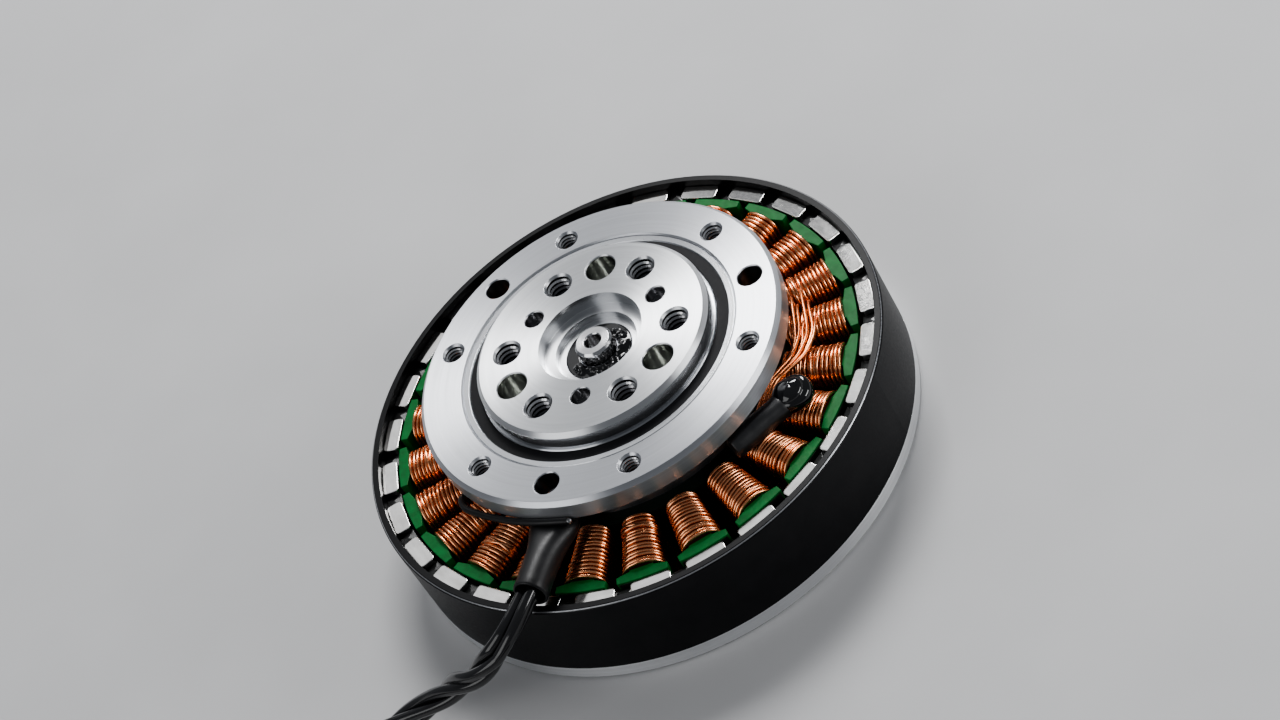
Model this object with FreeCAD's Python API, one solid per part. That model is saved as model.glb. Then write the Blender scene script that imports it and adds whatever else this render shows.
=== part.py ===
import FreeCAD, Part
import math
import os

# Robot joint actuator: an outrunner motor with a planetary gearbox inside its stator.
# The origin is on the axis, at the rear face. +Z points out of the output face.
# Lengths are in millimetres and angles in degrees, counted from +X towards +Y.

# Rotor ring and its magnets
rotor_wall = 1.07
rotor_rim_height = 14.0
rotor_rim_chamfer = 0.3
magnet_count = 28
magnet_width = 5.2
magnet_thickness = 2.1
magnet_length = 10.05
magnet_corner = 0.45
magnet_glue = 0.01
first_magnet_angle = -1.46

# Rear cover, hub and encoder magnet
cover_edge_height = 2.2
cover_edge_chamfer = 0.4
cover_web = 1.6
magnet_seat_height = 0.7
magnet_seat_width = 2.0
cover_step_width = 1.2
cover_step_depth = 0.5
rear_relief_depth = 0.4
rear_relief_inner = 26.0
rear_relief_outer = 60.0
hub_flange_diameter = 20.8
hub_flange_thickness = 1.6
hub_spigot_diameter = 11.0
hub_screw_circle = 16.6
hub_screw_count = 6
hub_screw_diameter = 2.0
hub_screw_head = 3.8
hub_screw_length = 2.9
hub_shoulder_diameter = 13.8
hub_shoulder_height = 0.5
hub_nose = 0.2
encoder_magnet_height = 2.4
encoder_magnet_recess = 0.15

# Bearings: bore, radial section and width, with the thickness of each ring
rotor_bearing_bore = 12.0
rotor_bearing_section = 3.0
rotor_bearing_width = 4.0
rotor_bearing_ring = 0.9
output_bearing_bore = 30.0
output_bearing_section = 3.5
output_bearing_width = 4.0
output_bearing_ring = 1.0
tip_bearing_bore = 5.0
tip_bearing_section = 2.0
tip_bearing_width = 3.0
tip_bearing_ring = 0.6
ring_edge = 0.15
seal_thickness = 0.3
seal_recess = 0.18
seal_clearance = 0.05

# Stator housing
flange_width = 5.9
flange_thickness = 2.9
flange_chamfer = 0.53
tube_wall = 2.0
shoulder_wall = 1.9
shoulder_clearance = 0.5
bearing_lip_width = 0.7
bearing_lip_height = 0.4
bearing_boss_wall = 2.0
floor_thickness = 2.2
output_bearing_recess = 0.2
output_bearing_offset = 1.3
bearing_seat_chamfer = 0.2
flange_hole_inset = 3.4
flange_hole_count = 3
flange_clear_hole = 3.2
flange_clear_angle = 30.0
flange_thread_core = 2.5
flange_thread_mouth = 3.15
flange_thread_offset = 30.0
flange_hole_depth = 3.6

# Stator stack
tooth_count = 24
first_tooth_angle = 7.5
air_gap = 0.27
core_offset = 1.1
core_length = 8.7
yoke_thickness = 1.6
slot_depth = 9.85
tooth_width = 2.6
shoe_angle = 11.2
shoe_edge = 0.7
shoe_slope = 0.4
end_coat = 0.3
slot_coat = 0.25

# Copper coils
coil_root_clearance = 0.15
coil_inner_width = 4.6
coil_outer_width = 5.9
coil_crown = 1.05
coil_corner = 1.9
coil_tip_clearance = 0.1
phase_pattern = "uuvvwwuuvvww"

# Gear train
gear_module = 0.4
sun_teeth = 16
planet_teeth = 32
planet_count = 3
pressure_angle = 25.0
tooth_addendum = 0.32
tooth_dedendum = 0.44
tooth_thinning = 0.04
planet_face = 5.2
ring_gear_overhang = 0.1
ring_gear_wall = 1.56
first_planet_angle = 41.0
sun_tooth_angle = 0.0

# Carrier, pins and sun shaft
carrier_clearance = 0.4
carrier_plate_thickness = 1.4
carrier_rim_clearance = 0.88
carrier_plate_bore = 8.4
carrier_screw_diameter = 2.5
carrier_screw_head = 4.6
carrier_screw_head_height = 0.9
carrier_screw_length = 5.6
pillar_diameter = 5.6
pillar_offset = 1.8
thrust_clearance = 0.1
pin_diameter = 2.5
pin_recess = 1.6
bush_clearance = 0.02
bush_wall = 0.75
bush_proud = 0.2
shaft_seat_diameter = 6.0
shaft_neck_diameter = 5.2
shaft_tip_proud = 2.15
shaft_tip_chamfer = 0.3
shaft_centre_hole = 2.2
shaft_centre_depth = 4.0

# Output flange
output_disc_width = 0.65
output_disc_thickness = 2.4
output_chamfer = 0.55
output_hole_inset = 4.25
output_thread_core = 3.3
output_thread_mouth = 3.95
output_thread_depth = 6.4
dowel_hole = 4.0
dowel_depth = 4.0
hole_chamfer = 0.15
centre_bore = 14.0
centre_bore_depth = 1.95
centre_step = 11.0
tip_bearing_depth = 3.0
centre_through = 7.6

# Leads, sleeves and the joined coil ends
sleeve_start_width = 7.3
sleeve_start_height = 2.9
sleeve_neck_length = 8.0
sleeve_mouth_radius = 34.0
sleeve_diameter = 4.4
sleeve_bore = 3.8
sleeve_bore_depth = 4.6
sleeve_clearance = 0.35
lead_diameter = 3.4
sensor_wire_diameter = 0.9
star_sleeve_diameter = 3.4
star_sleeve_start = (20.2, -12.15)
star_sleeve_end = (25.4, -5.45)
star_drop_width = 5.2
star_drop_height = 4.0
star_drop_offset = 1.6
star_wire_diameter = 0.6
star_wire_entry = 2.6
star_wire_pitch = 0.75
star_wire_spread = 0.3
joint_rest_gap = 0.05
hair = 0.001
path_trim = 0.45
connector_length = 15.0
connector_width = 11.0
connector_height = 7.6
connector_corner = 1.2
connector_pitch = 3.4
contact_diameter = 2.0
contact_length = 4.0
contact_recess = 1.0
contact_clearance = 0.4

# Radii that follow from the sizes above, from the gears outwards to the rotor
sun_radius = gear_module * sun_teeth / 2
planet_radius = gear_module * planet_teeth / 2
ring_teeth = sun_teeth + 2 * planet_teeth
ring_radius = gear_module * ring_teeth / 2
pin_circle_radius = sun_radius + planet_radius
pillar_radius = pin_circle_radius + pillar_offset
tube_bore = 2 * (ring_radius + tooth_dedendum + ring_gear_wall)
tube_diameter = tube_bore + 2 * tube_wall
tube_radius = tube_diameter / 2
stator_radius = tube_radius + yoke_thickness + slot_depth
magnet_inner_face = stator_radius + air_gap
magnet_outer_face = magnet_inner_face + magnet_thickness
rotor_inner_radius = math.hypot(magnet_outer_face + magnet_glue, magnet_width / 2)
rotor_radius = rotor_inner_radius + rotor_wall

# Bearing seats, flanges and hole circles that follow from the bearings
rotor_bearing_outer = rotor_bearing_bore + 2 * rotor_bearing_section
output_bearing_outer = output_bearing_bore + 2 * output_bearing_section
tip_bearing_outer = tip_bearing_bore + 2 * tip_bearing_section
flange_diameter = output_bearing_outer + 2 * flange_width
flange_hole_circle = flange_diameter - 2 * flange_hole_inset
output_disc_diameter = output_bearing_bore + 2 * output_disc_width
output_hole_circle = output_disc_diameter - 2 * output_hole_inset

# Heights that follow from the sizes above
magnet_bottom = cover_edge_height + magnet_seat_height
core_bottom = magnet_bottom + core_offset
core_top = core_bottom + core_length
hub_bottom = cover_web
hub_flange_top = hub_bottom + hub_flange_thickness
rotor_bearing_bottom = hub_flange_top + hub_shoulder_height
rotor_bearing_top = rotor_bearing_bottom + rotor_bearing_width
floor_top = rotor_bearing_top + bearing_lip_height
carrier_bottom = floor_top + carrier_clearance
carrier_top = carrier_bottom + carrier_plate_thickness
bush_length = planet_face + 2 * bush_proud
front_carrier_bottom = carrier_top + bush_length + 2 * thrust_clearance
gear_mid_height = carrier_top + thrust_clearance + bush_length / 2
ring_gear_width = planet_face + 2 * ring_gear_overhang
ring_gear_bottom = gear_mid_height - ring_gear_width / 2
output_bearing_bottom = front_carrier_bottom + output_bearing_offset
output_bearing_top = output_bearing_bottom + output_bearing_width
flange_face_height = output_bearing_top + output_bearing_recess
flange_underside = flange_face_height - flange_thickness
output_face_height = output_bearing_top + output_disc_thickness
planet_step = 360.0 / planet_count
pin_top = output_face_height - pin_recess
tip_bearing_top = output_face_height - tip_bearing_depth
shaft_tip_height = tip_bearing_top + shaft_tip_proud
sleeve_start_radius = (flange_hole_circle + flange_clear_hole) / 2
sleeve_height = rotor_rim_height + sleeve_clearance + sleeve_diameter / 2
planet_angles = [first_planet_angle + k * planet_step for k in range(planet_count)]
pillar_angles = [angle + planet_step / 2 for angle in planet_angles]


def up(x, y, z):
    return FreeCAD.Vector(x, y, z)


def polar(radius, angle, z=0.0):
    a = math.radians(angle)
    return up(radius * math.cos(a), radius * math.sin(a), z)


def turned(profile):
    """A turned part from its half section, given as (radius, height) points."""
    points = [up(r, 0, z) for r, z in profile]
    face = Part.Face(Part.makePolygon(points + points[:1]))
    return face.revolve(up(0, 0, 0), up(0, 0, 1), 360)


def tube(outer, inner, bottom, top):
    """A plain ring between two diameters."""
    return turned([(inner / 2, bottom), (outer / 2, bottom), (outer / 2, top), (inner / 2, top)])


def peg(diameter, bottom, top, place=None):
    """A plain round bar along Z, on the axis or at a place."""
    base = up(0, 0, bottom) if place is None else up(place.x, place.y, bottom)
    return Part.makeCylinder(diameter / 2, top - bottom, base)


def hole(diameter, depth, mouth_height, place, mouth=None, chamfer=0.0):
    """A drill with a countersunk mouth that opens at mouth_height."""
    drill = peg(diameter, mouth_height - depth, mouth_height + 1, place)
    wide = mouth if mouth is not None else diameter + 2 * chamfer
    flare = (wide - diameter) / 2
    if flare <= 0:
        return drill
    seat = up(place.x, place.y, mouth_height - flare)
    return drill.fuse(Part.makeCone(diameter / 2, wide / 2 + flare, 2 * flare, seat))


def around(shape, count, first=0.0):
    """Copies of a shape, evenly spaced about the axis, with the first one turned by an angle."""
    copies = []
    for k in range(count):
        copy = shape.copy()
        copy.rotate(up(0, 0, 0), up(0, 0, 1), first + k * 360.0 / count)
        copies.append(copy)
    return copies


def bearing_ring(outer, inner, bottom, width):
    """A bearing ring with its four edges broken."""
    e = ring_edge
    top = bottom + width
    ro = outer / 2
    ri = inner / 2
    return turned([(ri + e, bottom), (ro - e, bottom), (ro, bottom + e), (ro, top - e),
                   (ro - e, top), (ri + e, top), (ri, top - e), (ri, bottom + e)])


# Involute gear outlines

def involute(angle):
    return math.tan(angle) - angle


def half_angle(radius, teeth, thinning):
    """Half the angle that a tooth covers at a radius, in radians."""
    pitch_radius = gear_module * teeth / 2
    base_radius = pitch_radius * math.cos(math.radians(pressure_angle))
    at_pitch = math.pi / (2 * teeth) - thinning / (2 * pitch_radius)
    slope = math.acos(min(1.0, base_radius / radius))
    return at_pitch + involute(math.radians(pressure_angle)) - involute(slope)


def gear_outline(teeth, tip_radius, root_radius, thinning, centre_angle):
    """The closed outline of a gear, with one tooth centred at an angle."""
    flank_radii = [root_radius, (root_radius + tip_radius) / 2, tip_radius]
    edges = []
    for k in range(teeth):
        middle = centre_angle + k * 360.0 / teeth
        following = middle + 360.0 / teeth
        rise = []
        fall = []
        for radius in flank_radii:
            half = math.degrees(half_angle(radius, teeth, thinning))
            rise.append(polar(radius, middle - half))
            fall.insert(0, polar(radius, middle + half))
        root_half = math.degrees(half_angle(root_radius, teeth, thinning))
        gap_end = polar(root_radius, following - root_half)
        flanks = rise + fall
        edges += [Part.LineSegment(flanks[i], flanks[i + 1]).toShape() for i in range(len(flanks) - 1)]
        edges.append(Part.LineSegment(fall[-1], gap_end).toShape())
    return Part.Wire(edges)


def external_gear(teeth, bottom, top, centre_angle):
    pitch_radius = gear_module * teeth / 2
    outline = gear_outline(teeth, pitch_radius + tooth_addendum, pitch_radius - tooth_dedendum,
                           tooth_thinning, centre_angle)
    blank = Part.Face(outline).extrude(up(0, 0, top - bottom))
    blank.translate(up(0, 0, bottom))
    return blank


def planet_tooth_angle(planet_angle):
    """The direction of a planet tooth that puts a gap of the planet over a sun tooth."""
    return (planet_angle + 180.0 - 180.0 / planet_teeth
            + (planet_angle - sun_tooth_angle) * sun_teeth / planet_teeth)


def ring_gap_angle():
    """The direction of a gap of the ring gear that takes a tooth of the first planet."""
    lead = planet_tooth_angle(first_planet_angle) - first_planet_angle
    return first_planet_angle + lead * planet_teeth / ring_teeth


# Rotor

def rotor_ring():
    c = rotor_rim_chamfer
    ro = rotor_radius
    ri = rotor_inner_radius
    top = rotor_rim_height
    return turned([(ri, cover_edge_height), (ro, cover_edge_height), (ro, top - c), (ro - c, top), (ri, top)])


def rotor_magnets():
    block = Part.makeBox(magnet_thickness, magnet_width, magnet_length,
                         up(magnet_inner_face, -magnet_width / 2, magnet_bottom))
    upright = [e for e in block.Edges if abs(e.Vertexes[0].Z - e.Vertexes[1].Z) > magnet_length / 2]
    block = block.makeFillet(magnet_corner, upright)
    return around(block, magnet_count, first_magnet_angle)


def rear_cover():
    ro = rotor_radius
    c = cover_edge_chamfer
    seat_out = rotor_inner_radius
    seat_in = magnet_inner_face - (magnet_seat_width - magnet_thickness) / 2
    step = seat_in - cover_step_width
    bore = hub_spigot_diameter / 2
    relief_in = rear_relief_inner / 2
    relief_out = rear_relief_outer / 2
    disc = turned([(bore, 0), (relief_in, 0), (relief_in, rear_relief_depth),
                   (relief_out, rear_relief_depth), (relief_out, 0), (ro - c, 0), (ro, c),
                   (ro, cover_edge_height), (seat_out, cover_edge_height), (seat_out, magnet_bottom),
                   (seat_in, magnet_bottom), (seat_in, cover_web + cover_step_depth),
                   (step, cover_web), (bore, cover_web)])
    for screw in hub_screws():
        disc = disc.cut(screw)
    return disc


def hub_screws():
    """Countersunk screws, heads down, with their heads flush in the rear face."""
    place = polar(hub_screw_circle / 2, 0)
    head_height = (hub_screw_head - hub_screw_diameter) / 2
    head = Part.makeCone(hub_screw_head / 2, hub_screw_diameter / 2, head_height, place)
    screw = head.fuse(peg(hub_screw_diameter, 0, hub_screw_length, place))
    return around(screw, hub_screw_count)


def rotor_hub():
    spigot = hub_spigot_diameter / 2
    flange = hub_flange_diameter / 2
    shoulder = hub_shoulder_diameter / 2
    journal = rotor_bearing_bore / 2
    bore = shaft_seat_diameter / 2
    hub = turned([(bore, 0), (spigot, 0), (spigot, hub_bottom), (flange, hub_bottom),
                  (flange, hub_flange_top), (shoulder, hub_flange_top),
                  (shoulder, rotor_bearing_bottom), (journal, rotor_bearing_bottom),
                  (journal, rotor_bearing_top + hub_nose), (bore, rotor_bearing_top + hub_nose)])
    for screw in hub_screws():
        hub = hub.cut(screw)
    return hub


def encoder_magnet():
    return peg(shaft_seat_diameter, encoder_magnet_recess, encoder_magnet_recess + encoder_magnet_height)


def sun_gear():
    """The sun gear with its shaft, seated in the hub and guided at its tip."""
    seat = shaft_seat_diameter / 2
    neck = shaft_neck_diameter / 2
    tip = tip_bearing_bore / 2
    c = shaft_tip_chamfer
    start = encoder_magnet_recess + encoder_magnet_height
    gear_bottom = gear_mid_height - planet_face / 2
    gear_top = gear_mid_height + planet_face / 2
    shaft = turned([(0, start), (seat, start), (seat, rotor_bearing_top + hub_nose),
                    (neck, rotor_bearing_top + hub_nose), (neck, gear_mid_height), (tip, gear_mid_height),
                    (tip, shaft_tip_height - c), (tip - c, shaft_tip_height), (0, shaft_tip_height)])
    teeth = external_gear(sun_teeth, gear_bottom, gear_top, sun_tooth_angle)
    drill = hole(shaft_centre_hole, shaft_centre_depth, shaft_tip_height, up(0, 0, 0), chamfer=hole_chamfer)
    return shaft.fuse(teeth).removeSplitter().cut(drill)


# Stator housing and bearings

def stator_housing():
    ro = flange_diameter / 2
    c = flange_chamfer
    face = flange_face_height
    under = flange_underside
    seat = output_bearing_outer / 2
    bore = tube_bore / 2
    s = bearing_seat_chamfer
    shoulder = seat + shoulder_wall
    shoulder_bottom = core_top + end_coat + coil_crown + shoulder_clearance
    gear_seat = bore - tooth_dedendum - gear_module
    boss = rotor_bearing_outer / 2 + bearing_boss_wall
    bearing_lip = rotor_bearing_outer / 2 - bearing_lip_width
    floor_bottom = floor_top - floor_thickness
    shell = turned([(seat, face - s), (seat + s, face), (ro - c, face), (ro, face - c), (ro, under),
                    (shoulder, under), (shoulder, shoulder_bottom), (tube_radius, shoulder_bottom),
                    (tube_radius, core_bottom), (gear_seat, core_bottom), (gear_seat, floor_bottom),
                    (boss, floor_bottom), (boss, rotor_bearing_bottom),
                    (rotor_bearing_outer / 2, rotor_bearing_bottom),
                    (rotor_bearing_outer / 2, rotor_bearing_top),
                    (bearing_lip, rotor_bearing_top), (bearing_lip, floor_top),
                    (gear_seat, floor_top), (gear_seat, ring_gear_bottom), (bore, ring_gear_bottom),
                    (bore, output_bearing_bottom), (seat, output_bearing_bottom)])
    circle = flange_hole_circle / 2
    for k in range(flange_hole_count):
        middle = flange_clear_angle + k * 360.0 / flange_hole_count
        shell = shell.cut(hole(flange_clear_hole, flange_hole_depth, face, polar(circle, middle),
                               chamfer=hole_chamfer))
        for turn in (-flange_thread_offset, flange_thread_offset):
            shell = shell.cut(hole(flange_thread_core, flange_hole_depth, face, polar(circle, middle + turn),
                                   mouth=flange_thread_mouth))
    return shell


def ring_gear():
    inner = gear_outline(ring_teeth, ring_radius + tooth_dedendum, ring_radius - tooth_addendum,
                         -tooth_thinning, ring_gap_angle())
    blank = peg(tube_bore, ring_gear_bottom, ring_gear_bottom + ring_gear_width)
    gap = Part.Face(inner).extrude(up(0, 0, ring_gear_width))
    gap.translate(up(0, 0, ring_gear_bottom))
    return blank.cut(gap)


def outer_ring(outer, ring, bottom, width):
    return bearing_ring(outer, outer - 2 * ring, bottom, width)


def inner_ring(bore, ring, bottom, width):
    return bearing_ring(bore + 2 * ring, bore, bottom, width)


def bearing_seal(outer, bore, ring, bottom, width, sides):
    """Thin seals that sit in the outer ring and stop just short of the inner ring."""
    seals = []
    reach = bore + 2 * ring + 2 * seal_clearance
    if "front" in sides:
        top = bottom + width - seal_recess
        seals.append(tube(outer - 2 * ring, reach, top - seal_thickness, top))
    if "rear" in sides:
        low = bottom + seal_recess
        seals.append(tube(outer - 2 * ring, reach, low, low + seal_thickness))
    return seals


# Stator stack: one tooth is drawn along +X and repeated

def shoe_corner(coat):
    """The outer corner of the shoe, where it meets the air gap."""
    return polar(stator_radius, shoe_angle / 2 + math.degrees(coat / stator_radius))


def tooth_blank(coat, bottom, top):
    """One tooth with its shoe and its share of the yoke, grown by a coat on its slot faces."""
    half = tooth_width / 2 + coat
    tip = shoe_corner(coat)
    edge_inner = up(tip.x - shoe_edge - coat, tip.y, 0)
    neck = up(edge_inner.x - shoe_slope, half, 0)
    root = tube_radius + yoke_thickness / 2
    upper = [up(root, half, 0), neck, edge_inner, tip]
    lower = [up(p.x, -p.y, 0) for p in reversed(upper)]
    edges = [Part.LineSegment(upper[i], upper[i + 1]).toShape() for i in range(3)]
    edges.append(Part.Arc(upper[3], up(stator_radius, 0, 0), lower[0]).toShape())
    edges += [Part.LineSegment(lower[i], lower[i + 1]).toShape() for i in range(3)]
    edges.append(Part.LineSegment(lower[3], upper[0]).toShape())
    blank = Part.Face(Part.Wire(edges)).extrude(up(0, 0, top - bottom))
    blank.translate(up(0, 0, bottom))
    return blank


def stack_shape(coat, bottom, top):
    yoke = tube(tube_diameter + 2 * yoke_thickness + 2 * coat, tube_diameter, bottom, top)
    teeth = around(tooth_blank(coat, bottom, top), tooth_count, first_tooth_angle)
    return yoke.multiFuse(teeth).removeSplitter()


def stator_insulation():
    coated = stack_shape(slot_coat, core_bottom - end_coat, core_top + end_coat)
    return coated.cut(stack_shape(0.0, core_bottom, core_top))


def rounded_section(radius, width, bottom, top, r):
    """A rounded rectangle that stands across the tooth at a radius."""
    k = r * (1 - math.sqrt(0.5))
    y0, y1, z0, z1 = -width / 2, width / 2, bottom, top
    line = [((y0 + r, z0), (y1 - r, z0)), ((y1, z0 + r), (y1, z1 - r)),
            ((y1 - r, z1), (y0 + r, z1)), ((y0, z1 - r), (y0, z0 + r))]
    middle = [(y1 - k, z0 + k), (y1 - k, z1 - k), (y0 + k, z1 - k), (y0 + k, z0 + k)]
    edges = []
    for i in range(4):
        a, b = line[i]
        following = line[(i + 1) % 4][0]
        edges.append(Part.LineSegment(up(radius, *a), up(radius, *b)).toShape())
        edges.append(Part.Arc(up(radius, *b), up(radius, *middle[i]), up(radius, *following)).toShape())
    return Part.Wire(edges)


def coil_shape():
    """One wound coil round the tooth that points along +X."""
    low = core_bottom - end_coat
    high = core_top + end_coat
    inner = tube_radius + yoke_thickness + slot_coat + coil_root_clearance
    outer = shoe_corner(slot_coat).x - shoe_edge - slot_coat - shoe_slope - coil_tip_clearance
    sections = [rounded_section(inner, coil_inner_width, low - coil_crown, high + coil_crown, coil_corner),
                rounded_section(outer, coil_outer_width, low - coil_crown, high + coil_crown, coil_corner)]
    body = Part.makeLoft(sections, True, True)
    half = tooth_width / 2 + slot_coat
    window = Part.makeBox(outer - inner + 2, 2 * half, high - low, up(inner - 1, -half, low))
    return body.cut(window)


def phase_coils(phase):
    coil = coil_shape()
    places = [k for k in range(tooth_count) if phase_pattern[k % len(phase_pattern)] == phase]
    return [around(coil, 1, first_tooth_angle + k * 360.0 / tooth_count)[0] for k in places]


# Output side

def output_flange():
    disc = output_disc_diameter / 2
    body = output_bearing_bore / 2
    c = output_chamfer
    face = output_face_height
    bore = centre_bore / 2
    step = centre_step / 2
    seat = tip_bearing_outer / 2
    through = centre_through / 2
    seat_bottom = tip_bearing_top - tip_bearing_width
    flange = turned([(through, front_carrier_bottom), (body, front_carrier_bottom),
                     (body, output_bearing_top), (disc, output_bearing_top), (disc, face - c),
                     (disc - c, face), (bore, face),
                     (bore, face - centre_bore_depth), (step, face - centre_bore_depth),
                     (step, tip_bearing_top), (seat, tip_bearing_top), (seat, seat_bottom),
                     (through, seat_bottom)])
    circle = output_hole_circle / 2
    for angle in pillar_angles:
        pillar = polar(pillar_radius, angle)
        flange = flange.fuse(peg(pillar_diameter, carrier_top, front_carrier_bottom, pillar))
        screw_top = carrier_bottom + carrier_screw_length
        flange = flange.cut(peg(carrier_screw_diameter, carrier_top, screw_top, pillar))
        flange = flange.cut(hole(dowel_hole, dowel_depth, face, polar(circle, angle), chamfer=hole_chamfer))
        for turn in (-planet_step / 4, planet_step / 4):
            flange = flange.cut(hole(output_thread_core, output_thread_depth, face,
                                     polar(circle, angle + turn), mouth=output_thread_mouth))
    for angle in planet_angles:
        depth = face - front_carrier_bottom
        place = polar(pin_circle_radius, angle)
        flange = flange.cut(hole(pin_diameter, depth, face, place, chamfer=hole_chamfer))
    return flange


def carrier_plate():
    rim = ring_radius - tooth_addendum - carrier_rim_clearance
    plate = tube(2 * rim, carrier_plate_bore, carrier_bottom, carrier_top)
    for angle in planet_angles:
        plate = plate.cut(peg(pin_diameter, carrier_bottom, carrier_top, polar(pin_circle_radius, angle)))
    for angle in pillar_angles:
        plate = plate.cut(carrier_screw_shape(polar(pillar_radius, angle)))
    return plate


def carrier_screw_shape(place):
    seat = up(place.x, place.y, carrier_bottom)
    thread = carrier_screw_diameter / 2
    head = Part.makeCone(carrier_screw_head / 2, thread, carrier_screw_head_height, seat)
    return head.fuse(peg(2 * thread, carrier_bottom, carrier_bottom + carrier_screw_length, place))


def carrier_screws():
    return [carrier_screw_shape(polar(pillar_radius, angle)) for angle in pillar_angles]


def planet_pins():
    places = [polar(pin_circle_radius, angle) for angle in planet_angles]
    return [peg(pin_diameter, carrier_bottom, pin_top, place) for place in places]


def planet_gear(angle):
    bottom = gear_mid_height - planet_face / 2
    top = gear_mid_height + planet_face / 2
    gear = external_gear(planet_teeth, bottom, top, planet_tooth_angle(angle))
    bore = pin_diameter + 2 * bush_clearance + 2 * bush_wall
    gear = gear.cut(peg(bore, bottom, top))
    gear.translate(polar(pin_circle_radius, angle))
    return gear


def planet_bush(angle):
    inner = pin_diameter + 2 * bush_clearance
    bottom = gear_mid_height - bush_length / 2
    bush = tube(inner + 2 * bush_wall, inner, bottom, bottom + bush_length)
    bush.translate(polar(pin_circle_radius, angle))
    return bush


# Leads and joints of the windings

def lead_sleeve():
    """A shrink sleeve, pressed flat under the flange and round at its mouth."""
    stations = [(sleeve_start_radius, sleeve_start_width, sleeve_start_height),
                (sleeve_start_radius + sleeve_neck_length, sleeve_diameter, sleeve_diameter),
                (sleeve_mouth_radius, sleeve_diameter, sleeve_diameter)]
    sections = []
    for radius, width, height in stations:
        flat = Part.Ellipse(up(0, 0, 0), width / 2 + hair, height / 2).toShape()
        flat.rotate(up(0, 0, 0), up(1, 0, 0), 90)
        flat.translate(up(0, -radius, sleeve_height))
        sections.append(Part.Wire([flat]))
    flattened = Part.makeLoft(sections[:2], True, True)
    straight = Part.makeLoft(sections[1:], True, True)
    mouth = Part.makeCylinder(sleeve_bore / 2, sleeve_bore_depth, up(0, -sleeve_mouth_radius, sleeve_height),
                              up(0, 1, 0))
    under_flange = peg(flange_diameter, flange_underside, flange_face_height)
    return flattened.fuse(straight).cut(mouth).cut(under_flange)


def rounded_path(points):
    """Straight runs joined by tangent arcs, each as large as its two runs allow."""
    edges = []
    radii = []
    start = points[0]
    for i in range(1, len(points) - 1):
        before = (points[i] - points[i - 1])
        after = (points[i + 1] - points[i])
        turn = before.getAngle(after)
        trim = path_trim * min(before.Length, after.Length)
        radii.append(trim / math.tan(turn / 2))
        back = points[i] - before.normalize() * trim
        ahead = points[i] + after.normalize() * trim
        chord = (back + ahead) * 0.5
        inward = (chord - points[i])
        centre = points[i] + inward * (radii[-1] / math.cos(turn / 2) / inward.Length)
        middle = centre + (points[i] - centre).normalize() * radii[-1]
        edges.append(Part.LineSegment(start, back).toShape())
        edges.append(Part.Arc(back, middle, ahead).toShape())
        start = ahead
    edges.append(Part.LineSegment(start, points[-1]).toShape())
    return Part.Wire(edges), radii


def round_tube(points, diameter, name):
    path, radii = rounded_path(points)
    first = (points[1] - points[0]).normalize()
    section = Part.Wire([Part.Circle(points[0], first, diameter / 2).toShape()])
    body = path.makePipeShell([section], True, False)
    expected = math.pi * (diameter / 2) ** 2 * path.Length
    print(name, "length", round(path.Length, 1), "radii", [round(r, 1) for r in radii],
          "volume ratio", round(body.Volume / expected, 4))
    return body


lead_start_radius = sleeve_mouth_radius - sleeve_bore_depth
lead_route = [
    up(0.0, -lead_start_radius, sleeve_height),
    up(0.0, -37.5, sleeve_height),
    up(-5.3, -42.0, 12.5),
    up(-12.2, -42.0, 8.2),
    up(-19.0, -43.0, 4.2),
    up(-27.2, -46.8, 1.8),
    up(-33.6, -56.4, 1.8),
    up(-33.9, -69.8, 1.8),
    up(-26.4, -82.0, 1.8),
    up(-13.2, -88.0, 1.8),
    up(1.0, -84.8, 3.8),
    up(9.8, -74.4, 3.8),
]

# Each point of the thin wire: how far inside the flange's edge, at what angle and how far below the flange
sensor_wire_route = [
    (1.0, 229.0, 2.6),
    (-0.5, 233.0, 1.1),
    (-1.15, 238.5, 0.65),
    (-0.8, 245.5, 0.25),
    (-0.52, 253.0, 0.0),
    (-0.52, 261.0, -0.4),
    (-0.55, 269.0, -0.75),
    (-0.55, 277.0, -0.75),
]

# Each coil end's points before the joint: how far outside the flange's edge, at what angle and how far
# above the sleeve's middle
star_wire_routes = [
    [(-0.6, 27.0, -1.3), (-0.7, 16.0, -1.0), (-0.9, 7.0, -0.8), (-1.82, 0.0, -0.7), (-2.35, -7.0, -0.6)],
    [(0.1, 28.0, -1.3), (0.0, 16.5, -1.0), (-0.2, 7.5, -0.8), (-1.1, 0.5, -0.7), (-1.6, -6.0, -0.6)],
    [(0.8, 27.5, -1.3), (0.7, 17.0, -1.0), (0.5, 8.0, -0.7), (-0.65, 1.0, -0.05), (-1.65, -6.0, 0.25)],
    [(1.5, 26.0, -1.3), (1.4, 17.0, -1.0), (1.2, 8.5, -0.6), (0.1, 1.5, 0.15), (-0.9, -5.0, 0.35)],
]


def sensor_wire():
    """A thin wire that comes up beside the flange wall and runs round it into the sleeve."""
    height = flange_underside - sensor_wire_diameter / 2 - joint_rest_gap
    edge = flange_diameter / 2
    points = [polar(edge - inset, angle, height - drop) for inset, angle, drop in sensor_wire_route]
    return round_tube(points, sensor_wire_diameter, "sensor_wire").cut(lead_sleeve())


def star_joint_sleeve():
    height = resting_height(star_sleeve_diameter)
    start = up(star_sleeve_start[0], star_sleeve_start[1], height)
    end = up(star_sleeve_end[0], star_sleeve_end[1], height)
    return Part.makeCylinder(star_sleeve_diameter / 2, (end - start).Length, start, end - start)


def resting_height(thickness):
    """The middle height of something that rests on the crowns of the coils."""
    return core_top + end_coat + coil_crown + joint_rest_gap + thickness / 2


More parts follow.
